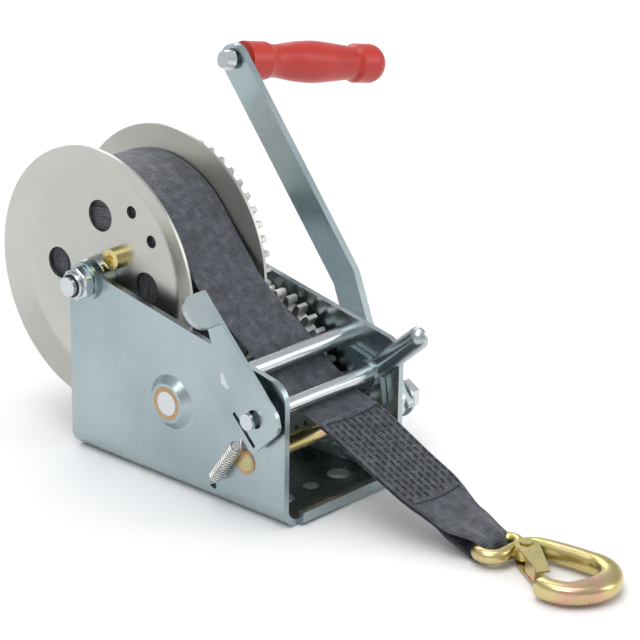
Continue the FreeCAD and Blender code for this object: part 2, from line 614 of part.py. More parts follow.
def make_crank_arm():
    """A flat bar with a joggle; its own X runs along the arm and its own Y is the object's X."""
    body = new_body("crank_bar")
    profile = sketch_on(body, "crank_profile", "XY_Plane")
    near, far = "crank_start", "crank_start + crank_jog"
    top = "crank_length + crank_tip"
    polygon(profile, [
        ("-crank_tail", near), ("jog_first", near), ("jog_last", far), (top, far),
        (top, f"{far} + crank_thick"), ("jog_last - 1", f"{far} + crank_thick"),
        ("jog_first - 1", f"{near} + crank_thick"), ("-crank_tail", f"{near} + crank_thick")])
    pad(body, "crank_strip", profile, "crank_wide", middle=True)
    first, last = value("jog_first"), value("jog_last")
    low, high, thick = value(near), value(far), value("crank_thick")
    round_edges(body, "jog_outside", "crank_thick * 3", V(0, 0, 1),
                [(first, low, 0), (last - 1, high + thick, 0)])
    round_edges(body, "jog_inside", "crank_thick * 2", V(0, 0, 1),
                [(last, high, 0), (first - 1, low + thick, 0)])
    half, end = value("crank_wide / 2"), value(top)
    round_edges(body, "top_round", "crank_wide / 2 - 0.3", V(0, 1, 0), [(end, 0, half), (end, 0, -half)])
    tail = value("-crank_tail")
    round_edges(body, "foot_round", "3", V(0, 1, 0), [(tail, 0, half), (tail, 0, -half)])
    holes = sketch_on(body, "crank_holes", "XZ_Plane")
    circle(holes, "drive_dia / 2", 0, 0)
    pocket(body, "crank_drill", holes)
    angle = math.radians(value("crank_angle"))
    along = V(0, math.cos(angle), math.sin(angle))
    across = V(1, 0, 0)
    turn = FreeCAD.Rotation(along, across, along.cross(across), "XYZ")
    body.Placement = FreeCAD.Placement(V(0, DRIVE_Y, DRIVE_Z), turn)
    drill = on_grip_line(doc.addObject("Part::Cylinder", "spindle_drill"), -15)
    bind(drill, Radius="spindle_dia / 2", Height=30)
    keep(cut("crank_drilled", body, drill), "crank_arm")


GRIP_AXIS = polar("crank_length", "crank_angle", "drive_y", "drive_z")


def grip_line():
    """The spindle's place in the middle of the arm's end, and its direction, which leans down."""
    angle, lean = math.radians(value("crank_angle")), math.radians(value("spindle_lean"))
    along = V(0, math.cos(angle), math.sin(angle))
    place = V(value("crank_start + crank_jog + crank_thick / 2"), *map(value, GRIP_AXIS))
    return place, V(1, 0, 0) * math.cos(lean) - along * math.sin(lean)


def on_grip_line(item, start):
    """Turns an upright primitive onto the spindle's line, with its base at a distance along it."""
    place, way = grip_line()
    item.Placement = FreeCAD.Placement(place + way * value(start), FreeCAD.Rotation(V(0, 0, 1), way))
    return item


def make_grip():
    """The spindle through the arm's end, and the turned handle that spins on it."""
    first = "crank_thick / 2 + grip_gap"
    foot = "-(crank_thick / 2 + spindle_lift + spindle_head_high)"
    shank = on_grip_line(doc.addObject("Part::Cylinder", "spindle_shank"), foot)
    bind(shank, Radius="spindle_dia / 2",
         Height=f"{first} + grip_length - grip_bore_left - 1 - ({foot})")
    head = on_grip_line(doc.addObject("Part::Cone", "spindle_head"), foot)
    bind(head, Radius1="spindle_head_dia / 2 - 1.5", Radius2="spindle_head_dia / 2",
         Height="spindle_head_high")
    keep(fuse("spindle", shank, head), "grip_spindle")

    start, long = value(first), value("grip_length")
    swell = "(grip_belly - grip_neck)"
    handle = [(0.145, "grip_collar"), (0.195, "grip_neck"), (0.31, f"grip_neck + {swell} * 0.4"),
              (0.42, f"grip_neck + {swell} * 0.88"), (0.49, "grip_belly"),
              (0.56, f"grip_neck + {swell} * 0.88"), (0.68, f"grip_neck + {swell} * 0.42"),
              (0.785, "grip_waist")]
    curve = Part.BSplineCurve()
    curve.interpolate([V(start + long * share, 0, value(radius)) for share, radius in handle])
    bulb = value("grip_bulb")
    bore, deep = value("spindle_dia / 2 + 0.08"), start + long - value("grip_bore_left")
    corners = [V(deep, 0, 0), V(deep, 0, bore), V(start, 0, bore), V(start, 0, value("grip_collar")),
               curve.StartPoint]
    shoulder = [V(start + long * 0.815, 0, bulb), V(start + long * 0.905, 0, bulb)]
    tip = V(start + long, 0, bulb * 0.6)
    rounding = Part.Arc(shoulder[1], V(start + long * 0.972, 0, bulb * 0.86), tip)
    edges = [Part.makeLine(one, two) for one, two in zip(corners, corners[1:])]
    edges += [curve.toShape(), Part.makeLine(curve.EndPoint, shoulder[0]), Part.makeLine(*shoulder),
              rounding.toShape(), Part.makeLine(tip, V(start + long, 0, 0)),
              Part.makeLine(V(start + long, 0, 0), corners[0])]
    turned = Part.Face(Part.Wire(edges)).revolve(V(), V(1, 0, 0), 360)
    item = add_shape("grip_turned", turned)
    place, way = grip_line()
    item.Placement = FreeCAD.Placement(place, FreeCAD.Rotation(V(1, 0, 0), way))
    keep(item, "grip")


LEVER_CORNERS = [
    (-24, 126.5), (-30, 136.1), (-45.4, 120.2), (-89.6, 74.6), (-92, 64.9), (-70.6, 44.2),
    (-50.7, 67.8), (-60.8, 75.5), (-51, 83), (-38.8, 103.5), (-34.9, 113.9)]
SLOT_ENDS = [(-56, 67.1), (-72.8, 50.2)]


def make_selector():
    """The pawl shaft with the pawl at one end and the hand lever at the other."""
    axis = ("pawl_y", "pawl_z")
    keep(rod("pawl_rod", "pawl_dia / 2", f"pawl_end + {HALF} + 2", "-pawl_end", *axis), "pawl_shaft")
    keep(tube("pawl_collar_ring", "pawl_dia / 2 + 3", "pawl_dia / 2", "4", f"-{INNER} + 0.3", *axis),
         "pawl_collar")
    keep(tube("lever_collar_ring", "lever_collar_dia / 2", "pawl_dia / 2",
              f"lever_in - {HALF} - 0.3", "-lever_in", *axis), "lever_collar")
    make_pawl()
    make_lever()


def make_pawl():
    """A plate with two tips, either of which can drop into the drive pinion, and a thumb finger."""
    body = new_body("pawl_plate")
    outline = sketch_on(body, "pawl_outline", "YZ_Plane")
    turn = "pawl_axis"
    points = [("tip_reach", f"{turn} + tip_spread"), ("tip_heel", f"{turn} + heel_spread"),
              ("pawl_hub_dia / 2", f"{turn} + 130"), ("pawl_hub_dia / 2", f"{turn} + 180"),
              ("pawl_hub_dia / 2", f"{turn} - 130"), ("tip_heel", f"{turn} - heel_spread"),
              ("tip_reach", f"{turn} - tip_spread"), ("pawl_hub_dia / 2", turn)]
    polygon(outline, [polar(ring, angle, *("pawl_y", "pawl_z")) for ring, angle in points])
    pad(body, "pawl_pad", outline, "pawl_thick")
    bind(body, Placement__Base__x="pawl_left")
    hub = rod("pawl_hub", "pawl_hub_dia / 2", "pawl_hub_long", "pawl_left - pawl_hub_long", "pawl_y",
              "pawl_z")
    finger = rod("finger_round", "finger_half", "finger_reach", "pawl_left + pawl_thick", "pawl_y",
                 "pawl_z")
    angle = math.radians(value("finger_angle"))
    along = V(0, math.cos(angle), math.sin(angle))
    finger.Placement = FreeCAD.Placement(V(), FreeCAD.Rotation(V(0, 0, 1), along))
    bead = doc.addObject("Part::Sphere", "finger_end")
    end = polar("finger_reach", "finger_angle", "pawl_y", "pawl_z")
    bind(bead, Radius="finger_half", Placement__Base__x="pawl_left + pawl_thick",
         Placement__Base__y=end[0], Placement__Base__z=end[1])
    whole = fuse("pawl_whole", body, hub, finger, bead)
    trim = doc.addObject("Part::Box", "pawl_trim")
    bind(trim, Length=40, Width=200, Height=200, Placement__Base__x="pawl_left + pawl_thick",
         Placement__Base__y="pawl_y - 100", Placement__Base__z="pawl_z - 100")
    bore = rod("pawl_bore", "pawl_dia / 2", 60, 0, "pawl_y", "pawl_z")
    keep(cut("pawl_cut", whole, fuse("pawl_tools", trim, bore)), "pawl")


def make_lever():
    """The hand lever outside the left plate, with a tab bent outwards and a slot for the spring."""
    body = new_body("lever_plate")
    outline = sketch_on(body, "lever_outline", "YZ_Plane")
    polygon(outline, LEVER_CORNERS)
    pad(body, "lever_pad", outline, "lever_thick")
    rounds = [("9", [3]), ("7", [4]), ("4", [5, 6]), ("3", [7]), ("5", [0])]
    for radius, numbers in rounds:
        places = [(0, *LEVER_CORNERS[number]) for number in numbers]
        round_edges(body, f"lever_round_{numbers[0]}", radius, V(1, 0, 0), places)
    bind(body, Placement__Base__x="-lever_in - lever_thick")

    top, root = V(0, *LEVER_CORNERS[1]), V(0, *LEVER_CORNERS[2])
    down, outward = (root - top).normalize(), V(-1, 0, 0)
    half = (root - top).Length / 2
    tab = new_body("lever_tab")
    shape = sketch_on(tab, "tab_outline", "XY_Plane")
    polygon(shape, [(-half, "-lever_thick"), (half, "-lever_thick"), (half, "tab_long"),
                    (-half, "tab_long")])
    pad(tab, "tab_pad", shape, "lever_thick")
    long = value("tab_long")
    round_edges(tab, "tab_round", half - 1, V(0, 0, 1), [(half, long, 0), (-half, long, 0)])
    tab.Placement = FreeCAD.Placement(
        (top + root) * 0.5 + V(value("-lever_in - lever_thick"), 0, 0),
        FreeCAD.Rotation(down, outward, down.cross(outward), "XYZ"))
    bore = fuse("lever_bores",
                rod("lever_bore", "pawl_dia / 2", 20, "-lever_in - 10", "pawl_y", "pawl_z"),
                rod("lever_gap", "eye_gap", 20, "-lever_in - 10", "pawl_y - 2.3", "pawl_z + 1.2"))
    start, end = V(0, *SLOT_ENDS[0]), V(0, *SLOT_ENDS[1])
    run = end - start
    slot = doc.addObject("Part::Box", "lever_slot")
    slot.Placement = FreeCAD.Placement(
        start + V(value("-lever_in - 10"), 0, 0) - run.cross(V(1, 0, 0)).normalize() * 1.3,
        FreeCAD.Rotation(V(1, 0, 0), run.cross(V(1, 0, 0)) * -1, run, "XZY"))
    bind(slot, Length=20, Width="slot_wide", Height=str(run.Length))
    keep(cut("lever_cut", fuse("lever_whole", body, tab), fuse("lever_tools", bore, slot)),
         "selector_lever")


def make_spring():
    """The coil of the tension spring between the lever's slot and the frame's anchor hole."""
    top = V(value("spring_x"), value("hook_up_y"), value("hook_up_z"))
    foot = V(value("spring_x"), value("anchor_y"), value("anchor_z"))
    run = foot - top
    start = top + run * value("spring_from")
    outer = doc.addObject("Part::Cylinder", "spring_outside")
    inner = doc.addObject("Part::Cylinder", "spring_hollow")
    for item, radius in ((outer, "spring_dia / 2"), (inner, "spring_dia / 2 - spring_wire")):
        item.Placement = FreeCAD.Placement(start, FreeCAD.Rotation(V(0, 0, 1), run))
        bind(item, Radius=radius, Height=f"{run.Length} * (spring_to - spring_from)")
    keep(cut("spring_coil", outer, inner), "return_spring")


def tangent_across(first, first_radius, second, second_radius, way):
    """The crossing tangent between two circles: its point on each."""
    run = second - first
    turn = math.acos((first_radius + second_radius) / run.Length)
    angle = math.atan2(run.z, run.y) + way * turn
    normal = V(0, math.cos(angle), math.sin(angle))
    return first + normal * first_radius, second - normal * second_radius


def tangent_under(first, first_radius, second, second_radius):
    """The tangent that passes below two circles on its way to the front."""
    run = second - first
    turn = math.acos((first_radius - second_radius) / run.Length)
    angle = math.atan2(run.z, run.y) + turn
    normal = V(0, math.cos(angle), math.sin(angle))
    return first + normal * first_radius, second + normal * second_radius


def web(name, stations):
    """A flat web through stations of middle point, width and thickness."""
    wires = []
    count = len(stations)
    for i, (point, wide, thick) in enumerate(stations):
        before = stations[max(i - 1, 0)][0]
        after = stations[min(i + 1, count - 1)][0]
        run = after - before
        normal = V(1, 0, 0).cross(V(0, run.y, run.z)).normalize() * (thick / 2)
        side = V(wide / 2, 0, 0)
        wires.append(Part.makePolygon([
            point - side - normal, point + side - normal, point + side + normal,
            point - side + normal, point - side - normal]))
    return add_shape(name, Part.makeLoft(wires, True, True))


def make_strap():
    """The strap's free run: off the coil, under the spacer and the pawl shaft, then to the hook."""
    drum = V(0, DRUM_Y, DRUM_Z)
    spacer = V(0, value("tube_y"), value("tube_z"))
    pawl = V(0, value("pawl_y"), value("pawl_z"))
    thick, wide = value("strap_thick"), value("strap_wide")
    clear = value("strap_gap + strap_thick / 2")
    middle = value("strap_middle")
    off_coil, onto_spacer = tangent_across(drum, value("coil_dia / 2") + clear, spacer,
                                           value("tube_dia / 2") + clear, -1)
    off_spacer, onto_pawl = tangent_under(spacer, value("tube_dia / 2") + clear, pawl,
                                          value("pawl_dia / 2") + clear)
    eye = V(0, value("eye_rear"), value("hook_z"))
    off_pawl = pawl + (V(1, 0, 0).cross(eye - pawl)).normalize() * (value("pawl_dia / 2") + clear)
    if off_pawl.z > pawl.z:
        off_pawl = pawl * 2 - off_pawl
    half_way = (off_coil + onto_spacer) * 0.5
    lapped = value("strap_lapped")
    out = (eye - off_pawl).normalize()
    lap_start = off_pawl + out * 17
    run = [(off_coil, middle), (half_way, middle), (onto_spacer, 4.5), (off_spacer, 4.9),
           (onto_pawl, 7), (off_pawl, 7.4), (lap_start, 9)]
    keep(web("strap_web", [(point + V(x, 0, 0), wide, thick) for point, x in run]), "strap_run")

    bar = value("eye_bar + loop_play")
    loop = bar + thick
    sag = V(0, 0, -1)
    tail_x = value("(eye_left + eye_right) / 2")
    reach = (eye - lap_start).Length
    tail = [(0, 9, wide, 0), (0.45, 9 + 0.42 * (tail_x - 9), wide, 3), (0.72, tail_x - 1, wide * 0.86, 2),
            (0.86, tail_x, wide * 0.64, 1), ((reach - loop + 0.4) / reach, tail_x, value("loop_wide"), 0)]
    stations = []
    for share, x, width, drop in tail:
        point = lap_start + out * (reach * share) + V(x, 0, 0) + sag * drop
        stations.append((point, width, lapped))
    flat = web("strap_lap", stations)
    start = "(eye_left + eye_right) / 2 - loop_wide / 2"
    ring = rod("loop_outside", "eye_bar + loop_play + strap_thick", "loop_wide", start, "eye_rear",
               "hook_z")
    hole = rod("loop_inside", "eye_bar + loop_play", "loop_wide + 60", f"{start} - 30", "eye_rear",
               "hook_z")
    keep(cut("strap_loop", fuse("strap_tail_solid", flat, ring), hole), "strap_tail")


def bent(name, ring, bar, x, y, first, sweep):
    """Part of a ring that lies flat, from the angle first, round by sweep degrees."""
    item = doc.addObject("Part::Torus", name)
    item.Placement = FreeCAD.Placement(V(), FreeCAD.Rotation(V(0, 0, 1), first))
    return bind(item, Radius1=ring, Radius2=bar, Angle3=sweep, Placement__Base__x=x,
                Placement__Base__y=y, Placement__Base__z="hook_z")


def make_hook():
    """A forged hook lying flat: an oblong eye for the strap, a shank and a bowl."""
    eye_ring = "(eye_rear - eye_front) / 2"
    eye_middle = "(eye_rear + eye_front) / 2"
    eye = [
        rod("eye_rear_bar", "eye_bar", "eye_right - eye_left", "eye_left", "eye_rear", "hook_z"),
        rod("eye_front_bar", "eye_bar", "eye_right - eye_left", "eye_left", "eye_front", "hook_z"),
        bent("eye_left_end", eye_ring, "eye_bar", "eye_left", eye_middle, 90, 180),
        bent("eye_right_end", eye_ring, "eye_bar", "eye_right", eye_middle, -90, 180)]
    centre = V(value("bowl_x"), value("bowl_y"), value("hook_z"))
    bar, ring = value("bowl_bar"), value("bowl_ring")
    neck = V(value("eye_right + 3"), value("eye_front + 1"), value("hook_z"))
    reach = neck - centre
    first = math.atan2(reach.y, reach.x) - math.acos(ring / reach.Length)
    last = math.radians(value("-bowl_turn"))

    def on_bowl(angle):
        return centre + V(math.cos(angle), math.sin(angle), 0) * ring

    tip_way = V(math.sin(last), -math.cos(last), 0)
    tip = on_bowl(last) + tip_way * value("tip_long")
    spine = Part.Wire([
        Part.makeLine(neck, on_bowl(first)),
        Part.Arc(on_bowl(first), on_bowl((first + last) / 2), on_bowl(last)).toShape(),
        Part.makeLine(on_bowl(last), tip)])
    rim = Part.Wire(Part.makeCircle(bar, neck, on_bowl(first) - neck))
    curve = add_shape("hook_curve", spine.makePipeShell([rim], True, True))
    point = doc.addObject("Part::Sphere", "hook_point")
    point.Placement = FreeCAD.Placement(tip, FreeCAD.Rotation())
    bind(point, Radius="bowl_bar - 0.6")
    lug = post("hook_lug", "lug_dia / 2", "lug_high", "latch_pin_x", "latch_pin_y",
               "hook_z - lug_high / 2")
    solid = fuse("hook_solid", *eye, curve, point, lug)
    drill = post("hook_pin_drill", "latch_pin_dia / 2", 40, "latch_pin_x", "latch_pin_y", "hook_z - 20")
    keep(cut("hook_drilled", solid, drill), "hook")

    pin = post("latch_pin_shank", "latch_pin_dia / 2", "latch_pin_long", "latch_pin_x",
               "latch_pin_y", "hook_z - latch_pin_long / 2")
    caps = [post(f"latch_pin_cap_{side}", "latch_pin_head / 2", 1, "latch_pin_x", "latch_pin_y", low)
            for side, low in (("low", "hook_z - latch_pin_long / 2 - 1"),
                              ("high", "hook_z + latch_pin_long / 2"))]
    keep(fuse("latch_pin_whole", pin, *caps), "latch_rivet")


def make_latch():
    """A folded sheet latch that closes the hook's mouth and pushes in towards the shank."""
    body = new_body("latch_sheet")
    outline = sketch_on(body, "latch_outline", "XY_Plane")
    polygon(outline, [
        ("latch_pin_x - 6", "latch_pin_y + 3.5"), ("latch_pin_x - 2", "latch_pin_y + 5.5"),
        ("latch_pin_x + 5", "latch_pin_y + 4"), ("latch_pin_x + 5.5", "latch_pin_y - 5"),
        (-7.5, -252.5), (-13.5, -248.5)])
    pad(body, "latch_pad", outline, "latch_high", middle=True)
    bind(body, Placement__Base__z="hook_z")
    hollow = doc.addObject("Part::Box", "latch_hollow")
    bind(hollow, Length=80, Width=80, Height="latch_space", Placement__Base__x=-30,
         Placement__Base__y=-262, Placement__Base__z="hook_z - latch_space / 2")
    skin = doc.addObject("Part::Box", "latch_back")
    pin = post("latch_bore", "latch_pin_dia / 2 + 0.05", 40, "latch_pin_x", "latch_pin_y",
               "hook_z - 20")
    first, last = V(-13.5, -248.5, 0), V(value("latch_pin_x - 6"), value("latch_pin_y + 3.5"), 0)
    run = last - first
    side = V(0, 0, 1).cross(run).normalize()
    skin.Placement = FreeCAD.Placement(
        first + run.normalize() * 7 + V(0, 0, value("hook_z - latch_space / 2 - 0.1")) - side * 2,
        FreeCAD.Rotation(run, side, V(0, 0, 1), "XYZ"))
    bind(skin, Length=15, Width=1.4, Height="latch_space + 0.2")
    plates = cut("latch_plates", body, hollow)
    keep(cut("latch_drilled", fuse("latch_folded", plates, skin), pin), "hook_latch")


for make in (make_frame, make_front_spacer, make_axle, make_drum, make_counter, make_drive,
             make_selector, make_spring, make_strap, make_hook, make_latch):
    make()
doc.recompute()
for item in doc.Objects:
    if "Invalid" in item.State or "Error" in item.State:
        raise ValueError(f"{item.Name} failed: {item.State}")
os.makedirs("parts", exist_ok=True)
for item in SUB_PARTS:
    shape = item.Shape
    if shape.isNull() or not shape.isValid() or not shape.Solids:
        raise ValueError(f"{item.Label} has no sound shape")
    shape.exportStep(f"parts/{item.Label}.step")
    print(item.Label, len(shape.Solids), round(shape.Volume), shape.BoundBox)
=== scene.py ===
import math

import bpy
from mathutils import Matrix, Vector


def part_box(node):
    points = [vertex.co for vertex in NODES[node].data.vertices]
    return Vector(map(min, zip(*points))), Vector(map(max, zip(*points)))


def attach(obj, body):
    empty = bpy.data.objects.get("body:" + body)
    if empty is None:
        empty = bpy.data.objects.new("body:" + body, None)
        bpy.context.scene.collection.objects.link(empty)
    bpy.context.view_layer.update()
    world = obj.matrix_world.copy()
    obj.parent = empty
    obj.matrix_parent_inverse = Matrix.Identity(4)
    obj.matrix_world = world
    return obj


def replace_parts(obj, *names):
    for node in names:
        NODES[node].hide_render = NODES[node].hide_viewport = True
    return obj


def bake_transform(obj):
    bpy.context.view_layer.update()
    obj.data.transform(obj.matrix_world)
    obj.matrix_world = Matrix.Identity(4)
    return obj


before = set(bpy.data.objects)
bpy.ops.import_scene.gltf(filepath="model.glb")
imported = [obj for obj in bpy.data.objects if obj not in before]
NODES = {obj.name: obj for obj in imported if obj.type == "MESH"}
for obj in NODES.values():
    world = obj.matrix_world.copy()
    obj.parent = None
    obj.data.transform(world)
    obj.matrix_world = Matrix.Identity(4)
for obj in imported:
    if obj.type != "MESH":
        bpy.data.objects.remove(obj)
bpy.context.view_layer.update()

MM = 0.001


def middle(name):
    """The centre of a CAD node's box."""
    low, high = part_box(name)
    return (low + high) / 2


def half_height(name):
    """Half the height of a CAD node's box: the radius of a round node that lies along X."""
    low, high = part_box(name)
    return (high.z - low.z) / 2


# ---------------------------------------------------------------- places taken from the frame
DRUM = middle("strap_coil")
COIL_R = half_height("strap_coil")
COIL_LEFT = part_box("strap_coil")[0].x
STRAP_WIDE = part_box("strap_coil")[1].x - COIL_LEFT
STRAP_THICK = 2 * MM
STRAP_GAP = 0.4 * MM
RIB_PITCH = 1.5 * MM
BAND_COUNT = 5
SPACER = middle("front_spacer_tube")
SPACER_R = half_height("front_spacer_tube")
PAWL = middle("pawl_shaft")
PAWL_R = half_height("pawl_shaft")
LOOP_R = 7 * MM
LOOP_X = 5 * MM
TAIL_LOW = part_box("strap_tail")[0]
EYE = Vector((LOOP_X, TAIL_LOW.y + LOOP_R, TAIL_LOW.z + LOOP_R))


# ---------------------------------------------------------------- materials
GRAIN_DEPTH = 0.00002


def new_material(name, metallic=0):
    material = bpy.data.materials.new(name)
    material.use_nodes = True
    tree = material.node_tree
    shader = next(n for n in tree.nodes if n.type == "BSDF_PRINCIPLED")
    shader.inputs["Metallic"].default_value = metallic
    return material, tree, shader


def node(tree, kind, **values):
    """A shader node with its properties and named inputs set."""
    made = tree.nodes.new(kind)
    for key, value in values.items():
        if key.startswith("in_"):
            made.inputs[key[3:].replace("_", " ")].default_value = value
        else:
            setattr(made, key, value)
    return made


def maths(tree, operation, *values):
    """The result of a math node whose inputs are numbers or other nodes' outputs."""
    made = node(tree, "ShaderNodeMath", operation=operation)
    for socket, value in zip(made.inputs, values):
        if isinstance(value, bpy.types.NodeSocket):
            tree.links.new(value, socket)
        else:
            socket.default_value = value
    return made.outputs[0]


def axes_of(tree, source):
    """A vector's X, Y and Z outputs."""
    apart = node(tree, "ShaderNodeSeparateXYZ")
    tree.links.new(source, apart.inputs["Vector"])
    return apart.outputs


def ramp(tree, stops):
    made = tree.nodes.new("ShaderNodeValToRGB")
    ramp_stops = made.color_ramp.elements
    while len(ramp_stops) < len(stops):
        ramp_stops.new(0.5)
    for element, (place, colour) in zip(ramp_stops, stops):
        element.position = place
        element.color = (*colour, 1)
    return made


def noise_at(tree, scale, detail, roughness, stretch=(1, 1, 1)):
    """Noise in object coordinates, stretched along the axes."""
    coordinates = node(tree, "ShaderNodeTexCoord")
    mapping = node(tree, "ShaderNodeMapping")
    mapping.inputs["Scale"].default_value = stretch
    made = node(tree, "ShaderNodeTexNoise", in_Scale=scale, in_Detail=detail, in_Roughness=roughness)
    tree.links.new(coordinates.outputs["Object"], mapping.inputs["Vector"])
    tree.links.new(mapping.outputs["Vector"], made.inputs["Vector"])
    return made.outputs["Fac"]


def tint_from(tree, shader, source, stops):
    """Colours the surface from a 0..1 value."""
    tint = ramp(tree, stops)
    tree.links.new(source, tint.inputs["Fac"])
    tree.links.new(tint.outputs["Color"], shader.inputs["Base Color"])


def bump_from(tree, shader, height, strength, distance):
    made = node(tree, "ShaderNodeBump", in_Strength=strength, in_Distance=distance)
    tree.links.new(height, made.inputs["Height"])
    tree.links.new(made.outputs["Normal"], shader.inputs["Normal"])


def spread_range(tree, source, low, high):
    """Maps a 0..1 value to a range."""
    made = node(tree, "ShaderNodeMapRange", in_To_Min=low, in_To_Max=high)
    tree.links.new(source, made.inputs["Value"])
    return made.outputs["Result"]


def plated(name, stops, rough, scale=10, stretch=(1, 1, 1), detail=3):
    """Plated steel: a slow change of tint, a finer change of gloss, and a faint grain."""
    material, tree, shader = new_material(name, metallic=1)
    tint_from(tree, shader, noise_at(tree, scale, detail, 0.5, stretch), stops)
    smear = noise_at(tree, scale * 6, 3, 0.5, stretch)
    tree.links.new(spread_range(tree, smear, *rough), shader.inputs["Roughness"])
    fine = noise_at(tree, 900, 2, 0.6, stretch)
    bump_from(tree, shader, fine, strength=0.35, distance=GRAIN_DEPTH)
    return material


def turned_material(name, stops, rough):
    """Sheet that was spun about the drum's axis, with fine rings round it."""
    material, tree, shader = new_material(name, metallic=1)
    axes = axes_of(tree, node(tree, "ShaderNodeTexCoord").outputs["Object"])
    squares = [maths(tree, "POWER", maths(tree, "SUBTRACT", axes[axis], centre), 2)
               for axis, centre in (("Y", DRUM.y), ("Z", DRUM.z))]
    radius = maths(tree, "SQRT", maths(tree, "ADD", *squares))
    rings = node(tree, "ShaderNodeTexNoise", in_Scale=1400, in_Detail=2)
    rings.noise_dimensions = "1D"
    tree.links.new(radius, rings.inputs["W"])
    tint_from(tree, shader, noise_at(tree, 9, 5, 0.6), stops)
    tree.links.new(spread_range(tree, rings.outputs["Fac"], *rough), shader.inputs["Roughness"])
    bump_from(tree, shader, rings.outputs["Fac"], strength=0.3, distance=GRAIN_DEPTH)
    return material


def web_material():
    """Dark woven web: the ribs are in the mesh. The colour follows them, lighter on the crests and darker
    in the grooves as painted shade, and lighter in lengthwise bands as a painted sheen for the yarn's
    lustre.
    """
    material, tree, shader = new_material("webbing")
    axes = axes_of(tree, node(tree, "ShaderNodeUVMap", uv_map="web").outputs["UV"])
    ribs = maths(tree, "SINE", maths(tree, "MULTIPLY", axes["Y"], 2 * math.pi / RIB_PITCH))
    band_turn = 2 * math.pi * BAND_COUNT / STRAP_WIDE
    # lengthwise bands of painted sheen, which set how strongly the ribs lighten and darken the colour
    sheen_bands = maths(tree, "SINE", maths(tree, "MULTIPLY", axes["X"], band_turn))
    ribs_shade_and_sheen = maths(tree, "MULTIPLY", ribs, spread_range(tree, sheen_bands, 0.45, 1.0))
    mixed = maths(tree, "MULTIPLY_ADD", ribs_shade_and_sheen, 0.16, noise_at(tree, 170, 4, 0.7))
    # the colour: painted shade in the ribs' grooves, painted highlight on their crests and painted sheen in
    # the bands, over a random tone
    tint_from(tree, shader, mixed, [(0.25, (0.012, 0.014, 0.019)), (0.52, (0.046, 0.052, 0.066)),
                                    (0.80, (0.125, 0.135, 0.160))])
    shader.inputs["Roughness"].default_value = 0.52
    shader.inputs["Sheen Weight"].default_value = 0.4
    shader.inputs["Sheen Roughness"].default_value = 0.4
    bump_from(tree, shader, ribs_shade_and_sheen, strength=0.7, distance=0.0002)
    return material


def thread_material():
    material, tree, shader = new_material("thread")
    cloud = noise_at(tree, 900, 2, 0.6)
    tint_from(tree, shader, cloud, [(0.3, (0.006, 0.006, 0.008)), (0.7, (0.035, 0.036, 0.042))])
    shader.inputs["Roughness"].default_value = 0.42
    bump_from(tree, shader, cloud, strength=0.5, distance=0.0001)
    return material


def grip_material():
    """Moulded red plastic, slightly uneven in gloss, with a faint leathery skin."""
    material, tree, shader = new_material("red_plastic")
    tint_from(tree, shader, noise_at(tree, 40, 4, 0.6),
              [(0.3, (0.42, 0.020, 0.014)), (0.7, (0.54, 0.036, 0.022))])
    fine = noise_at(tree, 1200, 3, 0.6)
    tree.links.new(spread_range(tree, fine, 0.26, 0.40), shader.inputs["Roughness"])
    bump_from(tree, shader, fine, strength=0.25, distance=0.00006)
    return material


ZINC = plated("clear_zinc", [(0.28, (0.30, 0.38, 0.40)), (0.5, (0.40, 0.47, 0.49)),
                             (0.72, (0.47, 0.52, 0.52))], (0.20, 0.34))
ROD = plated("bright_zinc", [(0.3, (0.56, 0.60, 0.62)), (0.7, (0.68, 0.70, 0.70))],
             (0.14, 0.28), stretch=(0.3, 1, 1))
FLANGE = turned_material("satin_flange", [(0.3, (0.47, 0.47, 0.43)), (0.7, (0.58, 0.57, 0.53))],
                         (0.24, 0.42))
GEAR = plated("gear_steel", [(0.3, (0.50, 0.51, 0.50)), (0.7, (0.68, 0.67, 0.63))],
              (0.26, 0.46), scale=30)
# yellow chromate over zinc: gold that drifts to pink and green
YELLOW = plated("yellow_zinc", [(0.32, (0.36, 0.42, 0.17)), (0.43, (0.60, 0.50, 0.20)),
                                (0.52, (0.66, 0.55, 0.27)), (0.60, (0.66, 0.40, 0.28)),
                                (0.72, (0.52, 0.48, 0.24))], (0.20, 0.34), scale=24, detail=1.5)
BRONZE = plated("bronze", [(0.3, (0.36, 0.23, 0.12)), (0.7, (0.55, 0.38, 0.22))], (0.3, 0.5), scale=60)
SPRING = plated("spring_wire", [(0.3, (0.62, 0.62, 0.60)), (0.7, (0.80, 0.79, 0.76))],
                (0.14, 0.24), scale=120)
WEB = web_material()
THREAD = thread_material()
RED = grip_material()

FINISHES = {
    ZINC: ["frame", "crank_arm", "pawl", "selector_lever", "crank_washer", "drum_axle_washers"],
    ROD: ["front_spacer_tube", "front_spacer_bolt", "front_spacer_nut", "drum_axle_bolt",
          "drum_axle_nut", "axle_spacer_left", "axle_spacer_right", "crank_hub", "crank_nut",
          "grip_spindle", "pawl_shaft", "pawl_collar", "lever_collar", "counter_shaft",
          "counter_collars", "drive_collar", "strap_clamp_nut"],
    FLANGE: ["drum_flange_left", "drum_flange_right", "drum_core", "gear_rivets"],
    GEAR: ["drum_gear", "counter_gear", "counter_pinion", "drive_pinion"],
    YELLOW: ["strap_clamp_bolt", "drive_shaft", "hook", "hook_latch", "latch_rivet"],
    BRONZE: ["counter_bush_left", "counter_bush_right", "drive_bush_left", "drive_bush_right",
             "drum_bushes"],
    SPRING: ["return_spring"],
    WEB: ["strap_coil", "strap_run", "strap_tail"],
    RED: ["grip"],
}
for material, names in FINISHES.items():
    for name in names:
        NODES[name].data.materials.clear()
        NODES[name].data.materials.append(material)


# ---------------------------------------------------------------- mesh helpers
def add_mesh(name, points, faces, material, body=None, smooth=True):
    mesh = bpy.data.meshes.new(name)
    mesh.from_pydata([tuple(p) for p in points], [], faces)
    mesh.materials.append(material)
    mesh.validate()
    made = bpy.data.objects.new(name, mesh)
    bpy.context.scene.collection.objects.link(made)
    for face in mesh.polygons:
        face.use_smooth = smooth
    if body:
        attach(made, body)
    return made


